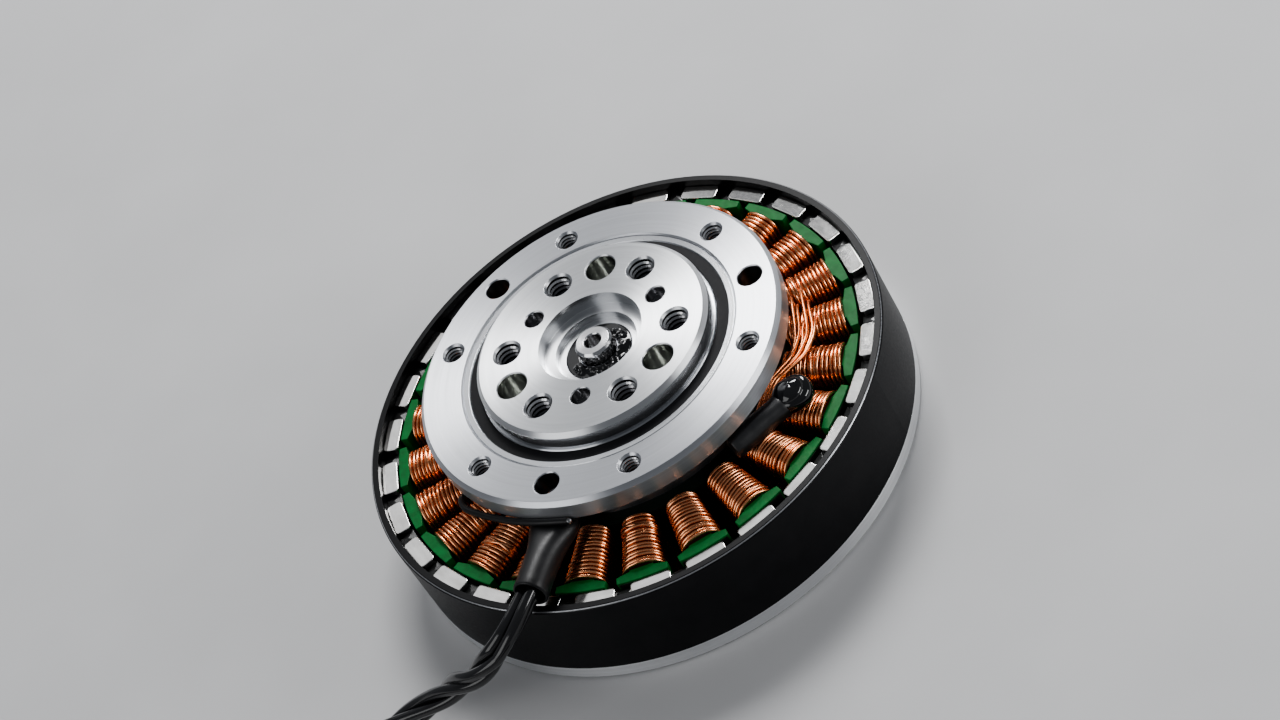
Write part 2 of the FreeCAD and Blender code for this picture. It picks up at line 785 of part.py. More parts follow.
def drop_centre():
    end = up(star_sleeve_end[0], star_sleeve_end[1], resting_height(star_drop_height))
    direction = up(star_sleeve_end[0] - star_sleeve_start[0], star_sleeve_end[1] - star_sleeve_start[1], 0)
    return end + direction.normalize() * star_drop_offset


def star_joint_epoxy():
    """A drop of resin round the end of the sleeve."""
    ball = Part.makeSphere(star_drop_width / 2)
    squeeze = FreeCAD.Matrix()
    squeeze.scale(1.0, 1.0, star_drop_height / star_drop_width)
    drop = ball.transformGeometry(squeeze)
    drop.translate(drop_centre())
    return drop.cut(star_joint_sleeve())


def star_joint_wires():
    """Enamelled coil ends that run along the flange's edge and into the side of the sleeve."""
    sleeve = star_joint_sleeve()
    height = resting_height(star_sleeve_diameter)
    start = up(star_sleeve_start[0], star_sleeve_start[1], height)
    end = up(star_sleeve_end[0], star_sleeve_end[1], height)
    direction = (end - start).normalize()
    wires = []
    for k, route in enumerate(star_wire_routes):
        points = [polar(flange_diameter / 2 + reach, angle, height + lift) for reach, angle, lift in route]
        entry = star_wire_entry + k * star_wire_pitch
        points.append(start + direction * entry + up(0, 0, (k - 1) * star_wire_spread))
        wires.append(round_tube(points, star_wire_diameter, "star wire").cut(sleeve))
    return wires


def connector_frame():
    """Where the connector lies: its back face centre and its direction."""
    direction = (lead_route[-1] - lead_route[-2])
    direction.z = 0
    direction.normalize()
    return lead_route[-1], direction


def along_connector(shape):
    """Moves a shape made along +X from the origin to the connector's place."""
    place, direction = connector_frame()
    shape.rotate(up(0, 0, 0), up(0, 0, 1), math.degrees(math.atan2(direction.y, direction.x)))
    shape.translate(place)
    return shape


def lead_connector():
    box = Part.makeBox(connector_length, connector_width, connector_height,
                       up(0, -connector_width / 2, -connector_height / 2))
    lengthwise = [e for e in box.Edges if abs(e.Vertexes[0].X - e.Vertexes[1].X) > connector_length / 2]
    box = box.makeFillet(connector_corner, lengthwise)
    depth = contact_length + contact_recess
    for k in (-1, 0, 1):
        socket = Part.makeCylinder(contact_diameter / 2 + contact_clearance, depth,
                                   up(connector_length - depth, k * connector_pitch, 0), up(1, 0, 0))
        box = box.cut(socket)
    return along_connector(box)


def connector_contacts():
    pins = []
    for k in (-1, 0, 1):
        start = up(connector_length - contact_length - contact_recess, k * connector_pitch, 0)
        pin = Part.makeCylinder(contact_diameter / 2, contact_length, start, up(1, 0, 0))
        pins.append(along_connector(pin))
    return pins


# Every sub-part, by its node's name

pieces = {
    "stator_housing": stator_housing(),
    "ring_gear": ring_gear(),
    "stator_core": stack_shape(0.0, core_bottom, core_top),
    "stator_insulation": stator_insulation(),
    "coils_phase_u": phase_coils("u"),
    "coils_phase_v": phase_coils("v"),
    "coils_phase_w": phase_coils("w"),
    "output_bearing_outer_ring": outer_ring(output_bearing_outer, output_bearing_ring,
                                            output_bearing_bottom, output_bearing_width),
    "output_bearing_seals": bearing_seal(output_bearing_outer, output_bearing_bore, output_bearing_ring,
                                         output_bearing_bottom, output_bearing_width, ("front", "rear")),
    "rotor_bearing_outer_ring": outer_ring(rotor_bearing_outer, rotor_bearing_ring,
                                           rotor_bearing_bottom, rotor_bearing_width),
    "rotor_bearing_seals": bearing_seal(rotor_bearing_outer, rotor_bearing_bore, rotor_bearing_ring,
                                        rotor_bearing_bottom, rotor_bearing_width, ("front", "rear")),
    "lead_sleeve": lead_sleeve(),
    "sensor_wire": sensor_wire(),
    "star_joint_sleeve": star_joint_sleeve(),
    "star_joint_epoxy": star_joint_epoxy(),
    "star_joint_wires": star_joint_wires(),
    "lead_bundle": round_tube(lead_route, lead_diameter, "lead_bundle"),
    "lead_connector": lead_connector(),
    "connector_contacts": connector_contacts(),
    "rotor_ring": rotor_ring(),
    "rotor_magnets": rotor_magnets(),
    "rear_cover": rear_cover(),
    "rotor_hub": rotor_hub(),
    "hub_screws": hub_screws(),
    "encoder_magnet": encoder_magnet(),
    "sun_gear": sun_gear(),
    "rotor_bearing_inner_ring": inner_ring(rotor_bearing_bore, rotor_bearing_ring,
                                           rotor_bearing_bottom, rotor_bearing_width),
    "tip_bearing_inner_ring": inner_ring(tip_bearing_bore, tip_bearing_ring,
                                         tip_bearing_top - tip_bearing_width, tip_bearing_width),
    "output_flange": output_flange(),
    "output_bearing_inner_ring": inner_ring(output_bearing_bore, output_bearing_ring,
                                            output_bearing_bottom, output_bearing_width),
    "tip_bearing_outer_ring": outer_ring(tip_bearing_outer, tip_bearing_ring,
                                         tip_bearing_top - tip_bearing_width, tip_bearing_width),
    "tip_bearing_seals": bearing_seal(tip_bearing_outer, tip_bearing_bore, tip_bearing_ring,
                                      tip_bearing_top - tip_bearing_width, tip_bearing_width,
                                      ("front", "rear")),
    "carrier_plate": carrier_plate(),
    "carrier_screws": carrier_screws(),
    "planet_pins": planet_pins(),
}
for number, angle in enumerate(planet_angles, start=1):
    pieces["planet_gear_" + str(number)] = planet_gear(angle)
    pieces["planet_bush_" + str(number)] = planet_bush(angle)

os.makedirs("parts", exist_ok=True)
for name, piece in pieces.items():
    solid = Part.makeCompound(piece) if isinstance(piece, list) else piece
    solid.exportStep("parts/" + name + ".step")
    print(name, len(solid.Solids), "solids, valid", solid.isValid(), "volume", round(solid.Volume, 1))
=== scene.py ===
import bmesh
import bpy
import math
import random
from mathutils import Matrix, Vector


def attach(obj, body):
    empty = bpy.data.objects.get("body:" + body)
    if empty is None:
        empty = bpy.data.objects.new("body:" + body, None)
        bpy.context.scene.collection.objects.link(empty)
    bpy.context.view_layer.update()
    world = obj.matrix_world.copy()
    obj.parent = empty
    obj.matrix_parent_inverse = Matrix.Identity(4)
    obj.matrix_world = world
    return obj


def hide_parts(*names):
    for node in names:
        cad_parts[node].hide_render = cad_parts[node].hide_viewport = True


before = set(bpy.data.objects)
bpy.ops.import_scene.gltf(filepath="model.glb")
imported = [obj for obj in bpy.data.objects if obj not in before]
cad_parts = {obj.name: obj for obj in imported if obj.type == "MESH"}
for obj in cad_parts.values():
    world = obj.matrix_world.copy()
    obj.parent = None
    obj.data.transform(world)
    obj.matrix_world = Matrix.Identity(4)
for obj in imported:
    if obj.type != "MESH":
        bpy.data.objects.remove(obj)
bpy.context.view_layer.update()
MM = 0.001
scene = bpy.context.scene

# Sizes of the object that the added pieces seat on, in millimetres and degrees
TOOTH_COUNT = 24
TOOTH_STEP = 360.0 / TOOTH_COUNT
FIRST_TOOTH = TOOTH_STEP / 2
PHASE_PATTERN = "uuvvwwuuvvww"
COIL_IN, COIL_OUT = 22.0, 29.82
COIL_WIDTH_IN, COIL_WIDTH_OUT = 4.6, 5.9
COIL_LOW, COIL_HIGH = 2.65, 14.05
COIL_TURNS = 14
WIRE = 0.48
FLANGE_RADIUS = 24.4
FLANGE_FACE = 21.2
FLANGE_CIRCLE = 21.0
OUTPUT_FACE = 23.4
OUTPUT_CIRCLE = 11.4
OUTPUT_FIRST = 11.0
DOWEL_FIRST = 101.0
PIN_CIRCLE = 9.6
PIN_FIRST = 41.0
HOLE_COUNT = 6
HOLE_STEP = 360.0 / HOLE_COUNT
RIM_CHAMFER_RADIUS = 34.76
RIM_CHAMFER_LOW = 13.82
MAGNET_COUNT = 28
FIRST_MAGNET = -1.46
MAGNET_HALF_WIDTH = 2.6
MAGNET_MIDDLE = 32.75


# Camera, at the photograph's place and roll, with its focal length in the photograph's pixels
PHOTO_WIDTH = 1280
FOCAL_PIXELS = 3182.455
SENSOR_WIDTH = 36.0
CAMERA_PLACE = (0.196335, -0.220032, 0.283138)
CAMERA_RIGHT = Vector((0.873248, 0.280183, -0.398667))
CAMERA_TOP = Vector((0.034349, 0.780724, 0.623931))
CAMERA_AHEAD = Vector((-0.486064, 0.558541, -0.672141))

cam_data = bpy.data.cameras.new("camera")
cam = bpy.data.objects.new("camera", cam_data)
scene.collection.objects.link(cam)
cam_data.sensor_width = SENSOR_WIDTH
cam_data.lens = FOCAL_PIXELS / PHOTO_WIDTH * SENSOR_WIDTH
cam_data.clip_start = 0.01
cam_data.clip_end = 20
basis = Matrix((CAMERA_RIGHT, CAMERA_TOP, -CAMERA_AHEAD)).transposed()
cam.matrix_world = Matrix.Translation(CAMERA_PLACE) @ basis.to_4x4()
scene.camera = cam


# Node helpers

class Shader:
    """A material under construction, with short calls for the nodes used here."""

    def __init__(self, name):
        self.mat = bpy.data.materials.new(name)
        self.mat.use_nodes = True
        self.tree = self.mat.node_tree
        self.bsdf = self.tree.nodes["Principled BSDF"]
        self.coords = None

    def node(self, kind, **settings):
        n = self.tree.nodes.new(kind)
        for key, value in settings.items():
            setattr(n, key, value)
        return n

    def link(self, a, b):
        self.tree.links.new(a, b)

    def put(self, **values):
        for key, value in values.items():
            name = key.replace("_", " ")
            self.bsdf.inputs[name].default_value = value

    def place(self):
        if self.coords is None:
            self.coords = self.node("ShaderNodeTexCoord").outputs["Object"]
        return self.coords

    def math(self, operation, a, b=None, c=None):
        n = self.node("ShaderNodeMath", operation=operation)
        for i, value in enumerate((a, b, c)):
            if value is None:
                continue
            if isinstance(value, (int, float)):
                n.inputs[i].default_value = value
            else:
                self.link(value, n.inputs[i])
        return n.outputs[0]

    def noise(self, scale, detail=3.0, roughness=0.5, where=None):
        n = self.node("ShaderNodeTexNoise")
        n.inputs["Scale"].default_value = scale
        n.inputs["Detail"].default_value = detail
        n.inputs["Roughness"].default_value = roughness
        self.link(where if where is not None else self.place(), n.inputs["Vector"])
        return n.outputs["Fac"]

    def cylinder(self):
        """Distance from the axis and height in metres, and the angle about the axis in radians."""
        n = self.node("ShaderNodeSeparateXYZ")
        self.link(self.place(), n.inputs[0])
        x, y, z = n.outputs
        r = self.math("SQRT", self.math("ADD", self.math("MULTIPLY", x, x), self.math("MULTIPLY", y, y)))
        return r, self.math("ARCTAN2", y, x), z

    def polar(self, along_radius, along_angle, along_height):
        """Coordinates that follow a turned surface: radius, angle and height, each with its own scale."""
        both = self.node("ShaderNodeCombineXYZ")
        for i, (value, scale) in enumerate(zip(self.cylinder(), (along_radius, along_angle, along_height))):
            self.link(self.math("MULTIPLY", value, scale), both.inputs[i])
        return both.outputs[0]

    def near_hole(self, circle, first, step, radius, bottom):
        """1 inside the holes of a circle of evenly spaced holes, above their bottom, and 0 elsewhere.
        Lengths are in millimetres and angles in degrees."""
        r, angle, z = self.cylinder()
        half = math.radians(step / 2)
        folded = self.math("WRAP", self.math("SUBTRACT", angle, math.radians(first)), half, -half)
        along = self.math("SUBTRACT", self.math("MULTIPLY", r, self.math("COSINE", folded)), circle * MM)
        across = self.math("MULTIPLY", r, self.math("SINE", folded))
        reach = self.math("ADD", self.math("MULTIPLY", along, along), self.math("MULTIPLY", across, across))
        inside = self.math("LESS_THAN", reach, (radius * MM) ** 2)
        return self.math("MULTIPLY", inside, self.math("GREATER_THAN", z, bottom * MM))

    def ramp(self, value, stops):
        n = self.node("ShaderNodeValToRGB")
        elements = n.color_ramp.elements
        while len(elements) < len(stops):
            elements.new(0.5)
        for e, (at, colour) in zip(elements, stops):
            e.position = at
            e.color = (*colour, 1.0)
        self.link(value, n.inputs[0])
        return n.outputs[0]

    def span(self, value, low, high, to_low, to_high):
        n = self.node("ShaderNodeMapRange")
        for name, x in (("From Min", low), ("From Max", high), ("To Min", to_low), ("To Max", to_high)):
            n.inputs[name].default_value = x
        self.link(value, n.inputs["Value"])
        return n.outputs[0]

    def mix(self, factor, a, b):
        n = self.node("ShaderNodeMix", data_type="RGBA")
        self.link(factor, n.inputs[0])
        for socket, value in ((n.inputs[6], a), (n.inputs[7], b)):
            if isinstance(value, tuple):
                socket.default_value = (*value, 1.0)
            else:
                self.link(value, socket)
        return n.outputs[2]

    def bump(self, height, strength, distance, under=None):
        n = self.node("ShaderNodeBump")
        n.inputs["Strength"].default_value = strength
        n.inputs["Distance"].default_value = distance
        self.link(height, n.inputs["Height"])
        if under is not None:
            self.link(under, n.inputs["Normal"])
        return n.outputs[0]

    def soft_edge(self, radius):
        n = self.node("ShaderNodeBevel", samples=6)
        n.inputs["Radius"].default_value = radius
        return n.outputs[0]

    def upward(self):
        """How far the surface faces along the axis, from 0 to 1."""
        n = self.node("ShaderNodeSeparateXYZ")
        self.link(self.node("ShaderNodeNewGeometry").outputs["Normal"], n.inputs[0])
        return self.math("ABSOLUTE", n.outputs[2])

    def colour(self, socket):
        self.link(socket, self.bsdf.inputs["Base Color"])

    def rough(self, socket):
        self.link(socket, self.bsdf.inputs["Roughness"])

    def normal(self, socket):
        self.link(socket, self.bsdf.inputs["Normal"])


def turned_metal(name, colour, face_rough, wall_rough, line_depth, edge=0.00006, holes=()):
    """Metal turned on a lathe: fine rings round the axis, one roughness on its faces and one on its walls,
    and painted shade inside its holes."""
    s = Shader(name)
    lines = s.noise(1.0, 6.0, 0.75, where=s.polar(14000.0, 1.5, 14000.0))
    broad = s.noise(1.0, 3.0, 0.5, where=s.polar(2500.0, 0.8, 2500.0))
    cloud = s.noise(160.0, 4.0, 0.6)
    tone = s.math("ADD", s.math("MULTIPLY", lines, 0.5), s.math("MULTIPLY", broad, 0.5))
    dark = tuple(c * 0.86 for c in colour)
    light = tuple(min(1.0, c * 1.06) for c in colour)
    shade = s.ramp(tone, [(0.3, dark), (0.7, light)])
    # painted shade inside the holes, laid over the metal's colour
    for circle, first, step, radius, bottom, bore_painted_shade in holes:
        shade = s.mix(s.near_hole(circle, first, step, radius, bottom), shade, bore_painted_shade)
    s.colour(shade)
    level = s.span(s.upward(), 0.25, 0.75, wall_rough, face_rough)
    wander = s.math("MULTIPLY", s.math("SUBTRACT", cloud, 0.5), 0.10)
    ringed = s.math("MULTIPLY", s.math("SUBTRACT", tone, 0.5), 0.12)
    s.rough(s.math("ADD", level, s.math("ADD", wander, ringed)))
    s.normal(s.bump(lines, 0.35, line_depth, under=s.soft_edge(edge)))
    # the highlight spreads across the rings, not along them
    s.put(Metallic=1.0, Anisotropic=0.8, Anisotropic_Rotation=0.25)
    tangent = s.node("ShaderNodeTangent", direction_type="RADIAL", axis="Z")
    s.link(tangent.outputs[0], s.bsdf.inputs["Tangent"])
    return s.mat


def grained(name, colour, rough, metallic=0.0, grain=900.0, depth=0.00002, spread=0.12, edge=0.00005,
            coat=0.0, gloss=0.5):
    """A plain material with fine grain, a little colour variation and soft edges."""
    s = Shader(name)
    fine = s.noise(grain, 4.0, 0.6)
    broad = s.noise(grain / 9.0, 3.0, 0.55)
    dark = tuple(c * (1 - spread) for c in colour)
    light = tuple(min(1.0, c * (1 + spread)) for c in colour)
    s.colour(s.ramp(broad, [(0.3, dark), (0.7, light)]))
    s.rough(s.span(fine, 0.3, 0.7, max(0.02, rough - 0.06), min(1.0, rough + 0.06)))
    s.normal(s.bump(fine, 0.3, depth, under=s.soft_edge(edge)))
    s.put(Metallic=metallic, Coat_Weight=coat, Coat_Roughness=0.08, Specular_IOR_Level=gloss)
    return s.mat


# Materials

# Painted shade inside the holes of the two flanges: dark, grey, and a paler grey in the output flange's
# larger holes
BORE_PAINTED_SHADE_DARK = (0.06, 0.06, 0.065)
BORE_PAINTED_SHADE_GREY = (0.30, 0.30, 0.31)
BORE_PAINTED_SHADE_PALE = (0.46, 0.47, 0.45)
FLANGE_BORE_LOW = 18.32
OUTPUT_BORE_LOW = 16.9
# each row: circle, first hole, step, radius of the painted shade, its lowest point, and its colour
FLANGE_HOLE_PAINTED_SHADE = (
    (FLANGE_CIRCLE, 0.0, HOLE_STEP, 1.29, FLANGE_BORE_LOW, BORE_PAINTED_SHADE_DARK),
    (FLANGE_CIRCLE, HOLE_STEP / 2, 2 * HOLE_STEP, 1.62, FLANGE_BORE_LOW, BORE_PAINTED_SHADE_DARK))
OUTPUT_HOLE_PAINTED_SHADE = (
    (OUTPUT_CIRCLE, OUTPUT_FIRST, HOLE_STEP, 1.69, OUTPUT_BORE_LOW, BORE_PAINTED_SHADE_DARK),
    (PIN_CIRCLE, PIN_FIRST, 2 * HOLE_STEP, 1.28, OUTPUT_BORE_LOW, BORE_PAINTED_SHADE_GREY),
    (OUTPUT_CIRCLE, DOWEL_FIRST, 2 * HOLE_STEP, 2.02, OUTPUT_BORE_LOW, BORE_PAINTED_SHADE_PALE))

aluminium = turned_metal("aluminium_turned", (0.55, 0.56, 0.585), 0.33, 0.34, 0.000003, holes=FLANGE_HOLE_PAINTED_SHADE)
output_metal = turned_metal("output_flange_metal", (0.60, 0.61, 0.625), 0.34, 0.20, 0.0000025,
                            holes=OUTPUT_HOLE_PAINTED_SHADE)
hub_metal = turned_metal("hub_metal", (0.66, 0.67, 0.69), 0.27, 0.18, 0.000003)
cover_metal = turned_metal("rear_cover_metal", (0.90, 0.91, 0.92), 0.26, 0.34, 0.000004)
ring_steel = turned_metal("bearing_steel", (0.58, 0.59, 0.61), 0.16, 0.14, 0.000002, 0.00005)
# a darker copy of the bearing steel for the output bearing's inner ring: painted shade
bearing_steel_painted_shade = turned_metal("inner_ring_steel_painted_shade", (0.42, 0.43, 0.45), 0.22, 0.20, 0.000002, 0.00005)
shaft_steel = turned_metal("shaft_steel", (0.62, 0.62, 0.63), 0.18, 0.14, 0.000002, 0.00008)
gear_steel = grained("gear_steel", (0.45, 0.45, 0.46), 0.3, 1.0, 2500.0, 0.000003)
pin_steel = grained("pin_steel", (0.34, 0.34, 0.345), 0.30, 1.0, 2500.0, 0.000004)
screw_steel = grained("screw_steel", (0.10, 0.10, 0.105), 0.38, 1.0, 2500.0, 0.000004)
laminations = grained("lamination_steel", (0.20, 0.19, 0.185), 0.42, 1.0, 1500.0, 0.00001)
seal_rubber = grained("seal_rubber", (0.010, 0.010, 0.012), 0.50, 0.0, 2500.0, 0.000004, gloss=0.16)
sleeve_black = grained("shrink_sleeve", (0.013, 0.013, 0.014), 0.40, 0.0, 1600.0, 0.000012, 0.2, gloss=0.36)
joint_black = grained("joint_sleeve", (0.011, 0.011, 0.012), 0.37, 0.0, 900.0, 0.000006, 0.2, gloss=0.9)
wire_jacket = grained("wire_jacket", (0.010, 0.010, 0.011), 0.16, 0.0, 900.0, 0.00001, 0.2, 0.00003, 0.35)
resin = grained("resin_drop", (0.006, 0.006, 0.007), 0.05, 0.0, 350.0, 0.000001, 0.2, 0.00003, 0.5)
connector_plastic = grained("connector_plastic", (0.028, 0.028, 0.030), 0.42, 0.0, 2500.0, 0.000008, 0.15,
                            0.0002)
gold = grained("contact_gold", (0.85, 0.62, 0.25), 0.22, 1.0, 2500.0, 0.000002, 0.05, 0.00008)
bronze = grained("bush_bronze", (0.55, 0.36, 0.18), 0.38, 1.0, 2500.0, 0.000005)
filler = grained("magnet_glue", (0.010, 0.010, 0.010), 0.30, 0.0, 600.0, 0.00006, 0.3)


def magnet_material():
    """Smooth nickel plate, with faint marks that follow the ring."""
    s = Shader("magnet_nickel")
    grain = s.noise(2600.0, 5.0, 0.7)
    marks = s.noise(1.0, 2.0, 0.5, where=s.polar(900.0, 12.0, 400.0))
    s.colour(s.ramp(marks, [(0.28, (0.60, 0.59, 0.575)), (0.72, (0.78, 0.77, 0.755))]))
    s.rough(s.span(grain, 0.3, 0.7, 0.08, 0.13))
    s.normal(s.bump(grain, 0.3, 0.000002, under=s.soft_edge(0.00022)))
    s.put(Metallic=1.0)
    return s.mat


def rotor_material():
    """Black satin coat, with the bare metal showing where the rim's chamfer is cut."""
    s = Shader("rotor_coat")
    fine = s.noise(3000.0, 4.0, 0.6)
    rings = s.noise(1.0, 4.0, 0.7, where=s.polar(9000.0, 1.0, 9000.0))
    radius, _, height = s.cylinder()
    outside = s.math("GREATER_THAN", radius, RIM_CHAMFER_RADIUS * MM)
    chamfer = s.math("MULTIPLY", outside, s.math("GREATER_THAN", height, RIM_CHAMFER_LOW * MM))
    worn = s.math("MULTIPLY", chamfer, s.span(rings, 0.35, 0.6, 0.35, 0.9))
    base = s.ramp(s.noise(220.0, 4.0, 0.6), [(0.3, (0.004, 0.004, 0.005)), (0.7, (0.008, 0.008, 0.009))])
    s.put(Specular_IOR_Level=0.18)
    s.colour(s.mix(worn, base, (0.55, 0.56, 0.58)))
    s.link(worn, s.bsdf.inputs["Metallic"])
    s.rough(s.math("ADD", s.span(fine, 0.3, 0.7, 0.34, 0.44), s.math("MULTIPLY", worn, -0.14)))
    relief = s.math("ADD", fine, s.math("MULTIPLY", rings, 0.6))
    s.normal(s.bump(relief, 0.2, 0.000003, under=s.soft_edge(0.00006)))
    return s.mat


def copper_material(name, light, dark, rough, coat):
    """Enamelled copper: red metal under a clear coat that gives the pale glints."""
    s = Shader(name)
    patch = s.noise(420.0, 3.0, 0.6)
    fine = s.noise(5000.0, 2.0, 0.5)
    s.colour(s.ramp(patch, [(0.3, dark), (0.7, light)]))
    s.rough(s.span(fine, 0.3, 0.7, rough - 0.05, rough + 0.07))
    s.normal(s.bump(fine, 0.2, 0.000002))
    s.put(Metallic=1.0, Coat_Weight=coat, Coat_Roughness=0.12)
    return s.mat


def coating_material():
    """Green powder coat on the tooth tips, painted near black further in, beside the coils, as painted shade.
    """
    painted_shade_ends, green_starts = 29.2, 29.8
    s = Shader("green_coating")
    lumps = s.noise(700.0, 3.0, 0.55)
    fine = s.noise(3200.0, 3.0, 0.6)
    radius, _, _ = s.cylinder()
    green = s.ramp(lumps, [(0.25, (0.006, 0.105, 0.022)), (0.75, (0.012, 0.180, 0.040))])
    tip = s.span(radius, painted_shade_ends * MM, green_starts * MM, 0.0, 1.0)
    # near black inside the tip radius: painted shade between the coils
    s.colour(s.mix(tip, (0.006, 0.012, 0.008), green))
    s.rough(s.span(fine, 0.3, 0.7, 0.36, 0.50))
    s.normal(s.bump(lumps, 0.5, 0.00008, under=s.bump(fine, 0.3, 0.00001, under=s.soft_edge(0.00018))))
    s.put(Specular_IOR_Level=0.14)
    return s.mat


def thread_material(name, mouth):
    """Cut threads, bright at the mouth, with painted shade that darkens them further down the hole."""
    unshaded_to, painted_dark_from = 0.5, 3.4
    s = Shader(name)
    _, _, height = s.cylinder()
    fine = s.noise(3000.0, 3.0, 0.5)
    depth = s.span(height, (mouth - painted_dark_from) * MM, (mouth - unshaded_to) * MM, 0.0, 1.0)
    # painted shade by depth below the mouth
    painted_shade_stops = [(0.0, (0.03, 0.03, 0.032)), (0.55, (0.20, 0.20, 0.21)), (1.0, (0.72, 0.72, 0.73))]
    s.colour(s.ramp(depth, painted_shade_stops))
    s.rough(s.span(fine, 0.3, 0.7, 0.18, 0.28))
    s.put(Metallic=1.0)
    return s.mat


magnet_metal = magnet_material()
output_thread_metal = thread_material("output_thread_metal", OUTPUT_FACE)
flange_thread_metal = thread_material("flange_thread_metal", FLANGE_FACE)
rotor_coat = rotor_material()
copper = copper_material("copper_wire", (0.97, 0.47, 0.25), (0.86, 0.33, 0.15), 0.24, 0.6)
joint_copper = copper_material("joint_copper", (0.92, 0.40, 0.19), (0.76, 0.26, 0.11), 0.28, 0.25)
# a darker copy of the copper: painted shade for the layers seen in the gaps between turns
copper_painted_shade = copper_material("copper_painted_shade", (0.28, 0.05, 0.016), (0.10, 0.016, 0.005), 0.45, 0.1)
coating = coating_material()


# Finishes for the carried-over pieces, by node
finishes = {
    "stator_housing": aluminium, "rear_cover": cover_metal, "rotor_hub": hub_metal,
    "output_flange": output_metal, "carrier_plate": hub_metal,
    "ring_gear": gear_steel, "sun_gear": shaft_steel,
    "planet_gear_1": gear_steel, "planet_gear_2": gear_steel, "planet_gear_3": gear_steel,
    "output_bearing_outer_ring": ring_steel, "output_bearing_inner_ring": bearing_steel_painted_shade,
    "rotor_bearing_outer_ring": ring_steel, "rotor_bearing_inner_ring": ring_steel,
    "tip_bearing_outer_ring": ring_steel, "tip_bearing_inner_ring": ring_steel,
    "planet_pins": pin_steel, "hub_screws": screw_steel, "carrier_screws": screw_steel,
    "stator_core": laminations, "stator_insulation": coating,
    "coils_phase_u": copper_painted_shade, "coils_phase_v": copper_painted_shade, "coils_phase_w": copper_painted_shade,
    "output_bearing_seals": seal_rubber, "rotor_bearing_seals": seal_rubber, "tip_bearing_seals": seal_rubber,
    "lead_sleeve": sleeve_black, "star_joint_sleeve": joint_black, "star_joint_epoxy": resin,
    "star_joint_wires": copper, "lead_bundle": wire_jacket, "sensor_wire": sleeve_black,
    "lead_connector": connector_plastic, "connector_contacts": gold,
    "rotor_ring": rotor_coat, "rotor_magnets": magnet_metal, "encoder_magnet": magnet_metal,
    "planet_bush_1": bronze, "planet_bush_2": bronze, "planet_bush_3": bronze,
}
for node_name, finish in finishes.items():
    for holder in bpy.data.objects[node_name].material_slots:
        holder.material = finish


# Mesh helpers, in millimetres

def polar(radius, degrees, z=0.0):
    a = math.radians(degrees)
    return Vector((radius * math.cos(a), radius * math.sin(a), z))


def around(sides):
    """Evenly spaced angles round a circle, in radians."""
    return [2 * math.pi * k / sides for k in range(sides)]


def globe(rows, sides):
    """For each point of a rounded piece, its angle down from the top and its angle round."""
    return [(math.pi * j / rows, a) for j in range(rows + 1) for a in around(sides)]


def make_piece(name, verts, faces, material, body, smooth=True):
    mesh = bpy.data.meshes.new(name)
    mesh.from_pydata([tuple(c * MM for c in v) for v in verts], [], faces)
    mesh.materials.append(material)
    if smooth:
        mesh.shade_smooth()
    mesh.update()
    obj = bpy.data.objects.new(name, mesh)
    scene.collection.objects.link(obj)
    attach(obj, body)
    return obj


def join_rings(faces, rings, sides, first=0, closed=False, flip=False):
    """Faces between rings of points that follow each other in a piece, from its point number first on."""
    for j in range(rings if closed else rings - 1):
        a = first + j * sides
        b = first + (j + 1) % rings * sides
        for k in range(sides):
            n = (k + 1) % sides
            faces.append((a + k, a + n, b + n, b + k) if flip else (a + k, b + k, b + n, a + n))


def merge_poles(piece):
    """Join the points that meet at the top and bottom of a rounded piece."""
    mesh_tool = bmesh.new()
    mesh_tool.from_mesh(piece.data)
    bmesh.ops.remove_doubles(mesh_tool, verts=mesh_tool.verts, dist=1e-7)
    mesh_tool.to_mesh(piece.data)
    mesh_tool.free()


def add_tube(verts, faces, path, radius, sides, closed=False):
    """A round wire along a path, with a frame carried along it, so that it doesn't twist."""
    count = len(path)
    first = len(verts)
    ahead_first = (path[1] - path[-1]) if closed else (path[1] - path[0])
    ahead_first.normalize()
    side = ahead_first.orthogonal().normalized()
    for i, point in enumerate(path):
        if closed:
            ahead_here = path[(i + 1) % count] - path[i - 1]
        else:
            ahead_here = path[min(i + 1, count - 1)] - path[max(i - 1, 0)]
        ahead_here.normalize()
        side = (side - ahead_here * side.dot(ahead_here)).normalized()
        other = ahead_here.cross(side)
        for a in around(sides):
            verts.append(point + side * (radius * math.cos(a)) + other * (radius * math.sin(a)))
    join_rings(faces, count, sides, first, closed, flip=True)
    if not closed:
        faces.append(tuple(first + k for k in reversed(range(sides))))
        last = first + (count - 1) * sides
        faces.append(tuple(last + k for k in range(sides)))


def smooth_line(points, steps):
    """A smooth line through a few points."""
    out = []
    for i in range(len(points) - 1):
        p0 = points[max(i - 1, 0)]
        p1, p2 = points[i], points[i + 1]
        p3 = points[min(i + 2, len(points) - 1)]
        for k in range(steps):
            t = k / steps
            out.append(0.5 * (2 * p1 + (p2 - p0) * t + (2 * p0 - 5 * p1 + 4 * p2 - p3) * t * t
                              + (3 * p1 - p0 - 3 * p2 + p3) * t * t * t))
    out.append(points[-1].copy())
    return out


